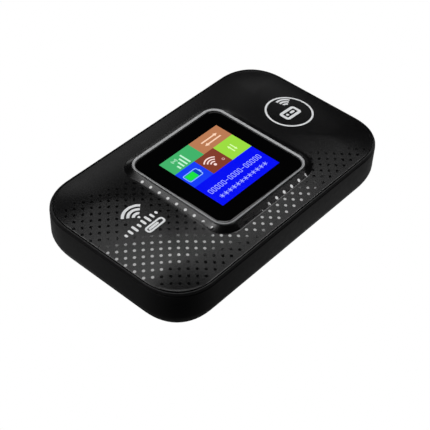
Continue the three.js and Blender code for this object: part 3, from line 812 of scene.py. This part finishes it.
def panel_bosses():
    """The tubes under the panel that the screws go into."""
    turn = RAYS[::15]
    around = np.column_stack([np.cos(turn), np.sin(turn)])
    profile = rounded(
        [(BOSS_OUTER, BOSS_BOTTOM + 1), (BOSS_OUTER, PANEL_EDGE), (BOSS_INNER, PANEL_EDGE),
         (BOSS_INNER, BOSS_BOTTOM), (BOSS_OUTER, BOSS_BOTTOM), (BOSS_OUTER, BOSS_BOTTOM + 1)],
        [0, 0, 0, 0.25, 0.15, 0],
    )[:-1]
    for i, screw in enumerate(SCREWS, 1):
        rings = [at_height(around * radius + screw.xy, z) for radius, z in profile]
        tube = loft(f"panel_boss_{i}", rings, PANEL, loop=True)
        place_piece(tube, "device", "panel_black")


# ---- Bezel and cover glass ----


def screen_bezel():
    """The silver ring, with a shelf that the window rests on."""
    shelf = BEZEL_WIDTH + BEZEL_SHELF
    profile = rounded(
        [(0, PANEL_BOTTOM + 0.2), (0, BEZEL_TOP), (BEZEL_WIDTH, BEZEL_TOP - BEZEL_DIP),
         (BEZEL_WIDTH, BEZEL_SEAT), (shelf, BEZEL_SEAT), (shelf, PANEL_BOTTOM),
         (0, PANEL_BOTTOM), (0, PANEL_BOTTOM + 0.2)],
        [0, 0.22, 0.12, 0.05, 0.1, 0.1, 0.1, 0],
    )[:-1]
    rings = [at_height(square_outline(inset), z) for inset, z in profile]
    piece = loft("bezel_ring", rings, SILVER, loop=True)
    place_piece(piece, "device", "bezel_silver", "screen_bezel")


def cover_glass():
    inset = BEZEL_HALF - GLASS_HIGH.x
    profile = rounded(
        [(inset + 1, GLASS_LOW.z), (inset, GLASS_LOW.z), (inset, GLASS_TOP), (inset + 1, GLASS_TOP)],
        [0, 0.08, 0.15, 0],
    )
    piece = loft("window", [at_height(square_outline(i), z) for i, z in profile], GLASS)
    place_piece(piece, "device", "screen_glass", "cover_glass")


# ---- Finishes of the CAD nodes that stay ----


def smoothing():
    """Nodes that smooth a mesh, except across its sharp edges."""
    tree = bpy.data.node_groups.new("smoothing", "GeometryNodeTree")
    for way in ("INPUT", "OUTPUT"):
        tree.interface.new_socket("Geometry", in_out=way, socket_type="NodeSocketGeometry")
    nodes, links = tree.nodes, tree.links
    faces, edges = nodes.new("GeometryNodeSetShadeSmooth"), nodes.new("GeometryNodeSetShadeSmooth")
    edges.domain = "EDGE"
    edges.inputs["Shade Smooth"].default_value = False
    angle, sharp = nodes.new("GeometryNodeInputMeshEdgeAngle"), nodes.new("FunctionNodeCompare")
    sharp.operation = "GREATER_THAN"
    sharp.inputs["B"].default_value = math.radians(NODE_SHARP_DEGREES)
    links.new(nodes.new("NodeGroupInput").outputs[0], faces.inputs["Geometry"])
    links.new(faces.outputs["Geometry"], edges.inputs["Geometry"])
    links.new(angle.outputs["Unsigned Angle"], sharp.inputs["A"])
    links.new(sharp.outputs["Result"], edges.inputs["Selection"])
    links.new(edges.outputs["Geometry"], nodes.new("NodeGroupOutput").inputs[0])
    return tree


def finish_nodes():
    """Gives every CAD node that is still shown its finish, small bevels and smooth curves."""
    tree = smoothing()
    for name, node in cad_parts.items():
        if node.hide_render:
            continue
        finish, edge = next(look[1:] for look in NODE_LOOKS if name.startswith(look[0]))
        for slot in node.material_slots:
            slot.material = finish
        weld = node.modifiers.new("weld", "WELD")
        weld.merge_threshold = 0.001 * MM
        bevel = node.modifiers.new("bevel", "BEVEL")
        bevel.width = edge * MM
        bevel.segments = 2
        bevel.limit_method = "ANGLE"
        bevel.angle_limit = math.radians(NODE_SHARP_DEGREES)
        smooth = node.modifiers.new("smooth", "NODES")
        smooth.node_group = tree


# ---- Dot pattern and marks on the panel ----

DOT_PITCH_X, DOT_PITCH_Y = 1.709, 1.693  # half the distance between dots in a row
DOT_ANCHOR = (-36.274, 6.015)
DOT_RADIUS = 0.46
DOT_MARGIN = 0.6  # from the panel's edge to the middle of the nearest dot
DOT_BEZEL_GAP = 0.62  # from the collar's top to the middle of the nearest dot
DOT_FADE = 2.4  # dots shrink over this stretch below the pattern's upper edge
DOT_SMALLEST = 0.6  # of DOT_RADIUS
PATTERN_EDGE_X = (-50, -22, 22, 50)  # the pattern's upper edge bends at these places
PATTERN_EDGE_Y = (24, 14.6, -15, -33)

WAVE_X, WAVE_Y = -31.75, 1.85
LEVELS_X, LEVELS_Y = -33.1, -0.45
LEVELS_PITCH = 1.7
LEVELS_TALL = (1.2, 2.0, 2.6, 1.6, 2.2, 2.7, 1.8, 1.1)
GAUGE_X, GAUGE_Y = -30.8, -3.55
GAUGE_HALF_X, GAUGE_HALF_Y = 3.5, 1.2
MARK_STROKE = 0.8
ROUND_MARK_X, ROUND_MARK_Y = 34.4, 0.95
ROUND_MARK_RADIUS = 7.4
ROUND_MARK_LINE = 0.62


def clear_of_marks(x, y):
    """Whether a dot would stay out from under the left mark's ink."""
    reach, side = math.hypot(x - WAVE_X, y - WAVE_Y), abs(x - WAVE_X)
    over_waves = reach < 5.5 and y > WAVE_Y - 0.6 and side < 0.85 * reach + 0.3
    over_levels = abs(x - LEVELS_X) < 6.7 and abs(y - LEVELS_Y) < 1.65
    over_gauge = abs(x - GAUGE_X) < GAUGE_HALF_X + 0.5 and abs(y - GAUGE_Y) < GAUGE_HALF_Y + 0.4
    return not (over_waves or over_levels or over_gauge)


def dots():
    """A staggered grid of dots below the pattern's upper edge."""
    pattern = Print(panel_height, thickness=0.03)
    reach = int(HALF_LENGTH / DOT_PITCH_X) + 25
    for column in range(-reach, reach):
        for row in range(-reach, reach):
            if (column + row) % 2:
                continue
            x = DOT_ANCHOR[0] + column * DOT_PITCH_X
            y = DOT_ANCHOR[1] + row * DOT_PITCH_Y
            below = np.interp(x, PATTERN_EDGE_X, PATTERN_EDGE_Y) - y
            on_panel = panel_depth(x, y) > DOT_MARGIN
            in_collar = depth_in(x, y, COLLAR_HALF, COLLAR_HALF, BEZEL_CORNER)
            if on_panel and in_collar < -DOT_BEZEL_GAP and below > 0 and clear_of_marks(x, y):
                size = DOT_SMALLEST + (1 - DOT_SMALLEST) * below / DOT_FADE
                pattern.disc(x, y, DOT_RADIUS * min(1, size))
    piece = pattern.piece("dot_pattern", DOT)


def waves(ink, x, y, radii, width, half_angle=50, dot=0.0, facing=90):
    """Arcs around a point, to one side of it, and a dot of radius dot on the point."""
    for radius in radii:
        ink.arc(x, y, radius, width, facing - half_angle, facing + half_angle)
    if dot:
        ink.disc(x, y, dot)


def left_mark():
    """A broadcast sign above a row of level bars and a gauge."""
    ink = Print(panel_height)
    waves(ink, WAVE_X, WAVE_Y, (1.55, 3.1, 4.65), 0.9, dot=0.42)
    for i, tall in enumerate(LEVELS_TALL):
        x = LEVELS_X - 6 + i * LEVELS_PITCH
        reach = (tall - MARK_STROKE) / 2
        ink.bar((x, LEVELS_Y - reach), (x, LEVELS_Y + reach), MARK_STROKE)
    low = (GAUGE_X - GAUGE_HALF_X, GAUGE_Y - GAUGE_HALF_Y)
    ink.border(low, (GAUGE_X + GAUGE_HALF_X, GAUGE_Y + GAUGE_HALF_Y), 0.6, 1.0)
    ink.bar((GAUGE_X - 2.1, GAUGE_Y), (GAUGE_X + 0.9, GAUGE_Y), MARK_STROKE)
    piece = ink.piece("left_mark", INK)


def round_mark():
    """A ring around a small box that sends out waves."""
    ink = Print(panel_height)
    ink.arc(ROUND_MARK_X, ROUND_MARK_Y, ROUND_MARK_RADIUS, ROUND_MARK_LINE)
    low = (ROUND_MARK_X - 3.8, ROUND_MARK_Y - 2.8)
    high = (ROUND_MARK_X + 3.2, ROUND_MARK_Y + 1.3)
    ink.border(low, high, 1.0, 1.1)
    ink.disc(low[0] + 2.1, low[1] + 2.05, 0.5)
    ink.bar((low[0] + 3.8, low[1] + 2.05), (low[0] + 4.9, low[1] + 2.05), 0.9)
    waves(ink, high[0] - 1.6, high[1] + 0.8, (1.3, 2.5, 3.7), 0.75, 38, facing=65)
    piece = ink.piece("round_mark", INK)


def flat_at(z):
    """The height of a flat surface, for Print."""
    return lambda x, y: np.full(np.shape(x), z)


def printed_label(name, node, body, lines):
    """A border and plain lines, in place of print, on the underside of a label. Each line is
    a share of the longest one."""
    edge, margin, pitch = 0.9, 3, 2.3
    low, high = corners_of(node)
    ink = Print(flat_at(low.z), thickness=0.01, sunk=0.015)
    ink.border((low.x + edge, low.y + edge), (high.x - edge, high.y - edge), 0.25, 0.8)
    longest = high.x - low.x - 2 * margin
    for i, share in enumerate(lines):
        x, y = low.x + margin, high.y - margin - 0.6 - pitch * i
        ink.bar((x, y), (x + share * longest, y), 0.7, round_ends=False)
    piece = ink.piece(name, DARK_INK, body)


def labels():
    printed_label("rating_lines", "rating_label", "device", (0.62, 0.86, 0.86, 0.44))
    printed_label("battery_lines", "battery_label", "battery", (0.4, 0.78, 0.92, 0.84, 0.92, 0.35))


# ---- Picture on the screen ----

PICTURE_X, PICTURE_Y = 0.29, 0.0
PICTURE_WIDE, PICTURE_TALL = 25.4, 25.0
TOP_ROW, SECOND_ROW = 0.255, 0.567  # the lower edges of the rows of tiles
TOP_SPLIT = 0.5
SECOND_SPLITS = (0.328, 0.658)
TILE_THICK, SIGN_THICK = 0.012, 0.03


def across(u):
    """A place in the picture, from 0 at its left edge to 1 at its right."""
    return PICTURE_X + (u - 0.5) * PICTURE_WIDE


def down(v):
    """A place in the picture, from 0 at its top to 1 at its foot."""
    return PICTURE_Y + (0.5 - v) * PICTURE_TALL


def lit_layer(thickness=SIGN_THICK):
    return Print(flat_at(GLASS_TOP), thickness)


def lit_piece(layer, name, color):
    piece = layer.piece(f"picture_{name}", lit_paint(f"lit_{name}", color))


def tile(name, color, low_u, low_v, high_u, high_v):
    layer = lit_layer(TILE_THICK)
    corners = ((low_u, high_v), (high_u, high_v), (high_u, low_v), (low_u, low_v))
    layer.patch(np.array([(across(u), down(v)) for u, v in corners]))
    lit_piece(layer, name, color)


def arrow(layer, start, end, width, head):
    """A straight arrow; head is the length and the width of its point."""
    start, end = np.array(start, float), np.array(end, float)
    along = (end - start) / np.linalg.norm(end - start)
    side = np.array([-along[1], along[0]]) * head / 2
    neck = end - along * head
    layer.bar(start, neck + along * 0.05, width, round_ends=False)
    layer.patch(np.array([end, neck + side, neck - side]))


def mast_and_bars():
    """Four rising bars, and a mast with waves to both sides."""
    layer = lit_layer()
    for i in range(4):
        x, foot = across(0.132 + 0.0537 * i), down(0.228)
        layer.bar((x, foot), (x, foot + 1.45 + 0.93 * i), 0.62, round_ends=False)
    x, y = across(0.166), down(0.085)
    for facing in (0, 180):
        waves(layer, x, y, (0.55, 0.95), 0.16, 45, facing=facing)
    layer.disc(x, y, 0.22)
    lit_piece(layer, "bars", (0.5, 0.86, 0.62))


def opposite_arrows():
    layer = lit_layer()
    left, right, y = across(0.62), across(0.895), down(0.134)
    arrow(layer, (left, y + 0.8), (right, y + 0.8), 0.5, 1.35)
    arrow(layer, (right, y - 0.8), (left, y - 0.8), 0.5, 1.35)
    lit_piece(layer, "arrows", (0.92, 0.62, 0.45))


def charge_gauge():
    """A battery's outline, filled for three quarters."""
    shell, full, empty = lit_layer(), lit_layer(), lit_layer()
    stroke, tall = 0.22, 2.6
    shell.border((across(0.03), down(0.478)), (across(0.255), down(0.341)), stroke, 0.5)
    cap, middle = across(0.262), down(0.41)
    shell.bar((cap, middle - 0.55), (cap, middle + 0.55), stroke, round_ends=False)
    start, level, end = across(0.049), across(0.188), across(0.237)
    full.bar((start, middle), (level, middle), tall, round_ends=False)
    empty.bar((level, middle), (end, middle), tall, round_ends=False)
    lit_piece(shell, "gauge", (0.32, 0.6, 0.95))
    lit_piece(full, "charge", (0.01, 0.7, 0.05))
    lit_piece(empty, "discharged", (0.003, 0.06, 0.4))


def wireless_fan():
    """A wireless sign, and a faint ring beside it."""
    layer, faint = lit_layer(), lit_layer()
    waves(layer, across(0.461), down(0.471), (1.3, 2.3, 3.3), 0.44, 45, dot=0.5)
    lit_piece(layer, "fan", (0.95, 0.72, 0.68))
    faint.arc(across(0.597), down(0.474), 0.38, 0.26)
    lit_piece(faint, "count", (0.6, 0.35, 0.32))


def up_and_down():
    layer = lit_layer()
    left, right = across(0.797), across(0.846)
    top, foot = down(0.357), down(0.482)
    arrow(layer, (left, foot), (left, top), 0.42, 1.0)
    arrow(layer, (right, top), (right, foot), 0.42, 1.0)
    lit_piece(layer, "up_down", (0.68, 0.95, 0.4))


def places(count, start, end):
    """The middles of so many equal places between two shares of the picture's width."""
    pitch = (across(end) - across(start)) / count
    return [across(start) + pitch * (i + 0.5) for i in range(count)]


def placeholder_rows():
    """A row of empty boxes in groups, above a row of stars as for a hidden key."""
    layer = lit_layer()
    stroke = 0.17
    y = down(0.747)
    for i, x in enumerate(places(16, 0.048, 0.942)):
        if i in (5, 10):
            layer.bar((x - 0.45, y), (x + 0.45, y), stroke)
        else:
            layer.border((x - 0.5, y - 0.95), (x + 0.5, y + 0.95), stroke, 0.3)
    for x in places(12, 0.084, 0.903):
        middle = np.array([x, down(0.886)])
        for turn in np.radians((30, 90, 150)):
            reach = 0.75 * np.array([math.cos(turn), math.sin(turn)])
            layer.bar(middle - reach, middle + reach, stroke)
    lit_piece(layer, "rows", (0.4, 0.46, 1.0))


def picture():
    first, second = SECOND_SPLITS
    tile("green", (0.051, 0.42, 0.136), 0, 0, TOP_SPLIT, TOP_ROW)
    tile("orange", (0.46, 0.185, 0.084), TOP_SPLIT, 0, 1, TOP_ROW)
    tile("blue", (0.007, 0.043, 0.86), 0, TOP_ROW, first, SECOND_ROW)
    tile("red", (0.21, 0.043, 0.024), first, TOP_ROW, second, SECOND_ROW)
    tile("lime", (0.31, 0.67, 0.05), second, TOP_ROW, 1, SECOND_ROW)
    tile("deep_blue", (0.001, 0.004, 0.84), 0, SECOND_ROW, 1, 1)
    mast_and_bars()
    opposite_arrows()
    charge_gauge()
    wireless_fan()
    up_and_down()
    placeholder_rows()


# ---- Floor, surroundings and lights ----

FLOOR_SIZE, FLOOR_THICK = 4000, 20
FLOOR_GLOW = 0.2
SHADED_CORNER = (-56, -38, 0)  # the floor's glow is dimmest here
SHADED_GLOW = 0.12  # of FLOOR_GLOW
SHADED_REACH = (8 * MM, 60 * MM)
FAR_SIDE = (0.707, 0.707, 0)  # away from the camera
FAR_SIDE_REACH = (25 * MM, 60 * MM)
FAR_SIDE_GLOW = 4  # times FLOOR_GLOW
SKY_GLOW = 0.02
WHITE = (1, 1, 1, 1)
AIM = Vector((0, 0, 15))  # the lights face this place on the object
STRIP_HEIGHT = 1000


def by_ray(tree, seen, met):
    """One shader for the camera, and another for the rays that light the object."""
    path, mix = tree.nodes.new("ShaderNodeLightPath"), tree.nodes.new("ShaderNodeMixShader")
    tree.links.new(path.outputs["Is Camera Ray"], mix.inputs["Fac"])
    tree.links.new(met.outputs[0], mix.inputs[1])
    tree.links.new(seen.outputs[0], mix.inputs[2])
    return mix.outputs["Shader"]


def measure(tree, operation, vector):
    """Each point's distance from a place, or its length along a direction."""
    place, node = tree.nodes.new("ShaderNodeTexCoord"), tree.nodes.new("ShaderNodeVectorMath")
    node.operation = operation
    node.inputs[1].default_value = vector
    tree.links.new(place.outputs["Object"], node.inputs[0])
    return node.outputs["Value"]


def floor():
    """A white floor. Only its reflection is dim, dimmest by the corner next to the camera and
    least dim behind the object."""
    flat = outline(FLOOR_SIZE, FLOOR_SIZE, FLOOR_SIZE / 8)
    piece = loft("floor", [at_height(flat, z) for z in (-FLOOR_THICK, 0)], CASE)
    made = bpy.data.materials.new("pale_floor")
    made.use_nodes = True
    tree = made.node_tree
    nodes, links = tree.nodes, tree.links
    nodes.clear()
    seen, met = nodes.new("ShaderNodeEmission"), nodes.new("ShaderNodeEmission")
    seen.inputs["Color"].default_value = WHITE
    from_corner = measure(tree, "DISTANCE", Vector(SHADED_CORNER) * MM)
    behind = measure(tree, "DOT_PRODUCT", FAR_SIDE)
    near = map_range(tree, from_corner, SHADED_REACH, (FLOOR_GLOW * SHADED_GLOW, FLOOR_GLOW))
    far = map_range(tree, behind, FAR_SIDE_REACH, (1, FAR_SIDE_GLOW))
    glow, out = nodes.new("ShaderNodeMath"), nodes.new("ShaderNodeOutputMaterial")
    glow.operation = "MULTIPLY"
    links.new(near, glow.inputs[0])
    links.new(far, glow.inputs[1])
    links.new(glow.outputs["Value"], met.inputs["Strength"])
    links.new(by_ray(tree, seen, met), out.inputs["Surface"])
    piece.data.materials[0] = made


def surroundings():
    """A sky that is white to the camera and nearly black to the object."""
    world = bpy.data.worlds.new("studio")
    bpy.context.scene.world = world
    world.use_nodes = True
    tree = world.node_tree
    seen, met = tree.nodes["Background"], tree.nodes.new("ShaderNodeBackground")
    seen.inputs["Color"].default_value = WHITE
    met.inputs["Color"].default_value = (SKY_GLOW, SKY_GLOW, SKY_GLOW, 1)
    tree.links.new(by_ray(tree, seen, met), tree.nodes["World Output"].inputs["Surface"])


def area_light(name, size_x, size_y, radiance):
    """A rectangular light whose power follows from its size in millimetres and its radiance."""
    data = bpy.data.lights.new(name, "AREA")
    data.shape = "RECTANGLE"
    data.size, data.size_y = size_x * MM, size_y * MM
    data.energy = radiance * math.pi * data.size * data.size_y
    light = bpy.data.objects.new(name, data)
    bpy.context.scene.collection.objects.link(light)
    return light


def soft_light(name, place, size_x, size_y, radiance):
    """A light that faces the object."""
    light = area_light(name, size_x, size_y, radiance)
    light.rotation_mode = "QUATERNION"
    light.rotation_quaternion = (AIM - Vector(place)).normalized().to_track_quat("-Z", "Y")
    light.location = Vector(place) * MM


def strip_light(name, start, end, width, radiance):
    """A long narrow light, overhead, that the panel and its dots mirror."""
    start, end = Vector((*start, STRIP_HEIGHT)), Vector((*end, STRIP_HEIGHT))
    light = area_light(name, (end - start).length, width, radiance)
    middle = (start + end) / 2
    along = (end - start).normalized()
    facing = (middle - AIM).normalized()
    sideways = facing.cross(along).normalized()
    facing = along.cross(sideways)
    turn = Matrix((along, sideways, facing)).transposed().to_4x4()
    light.matrix_world = Matrix.Translation(middle * MM) @ turn


def lights():
    """Strips for the dots to mirror, and soft lights for the ring, the walls and the collar."""
    strip_light("strip_back", (200, 541), (530, 541), 122, 4.5)
    strip_light("strip_inner", (455, 436), (530, 436), 84, 4.5)
    strip_light("strip_bend", (588, 385), (588, 528), 112, 4.5)
    strip_light("strip_side", (668, 408), (782, 222), 94, 4.5)
    soft_light("key", (-500, 450, 1200), 500, 500, 10)
    soft_light("ring_light", (665, -115, 1000), 300, 300, 15)
    strip_light("edge_strip", (620, 1390), (1250, 1450), 260, 0.9)
    strip_light("far_strip", (1250, 1210), (1780, 1000), 240, 0.65)
    soft_light("collar_left_light", (0, 555, 1000), 240, 230, 7)
    soft_light("collar_front_light", (993, -820, 1000), 80, 120, 7)


# ---- The whole object and its stage ----

rear_cover()
frame_rim()
frame_body()
power_key()
top_panel()
panel_bosses()
screen_bezel()
cover_glass()
dots()
left_mark()
round_mark()
labels()
picture()
finish_nodes()
make_camera()
floor()
surroundings()
lights()
bpy.context.scene.view_settings.view_transform = "Standard"
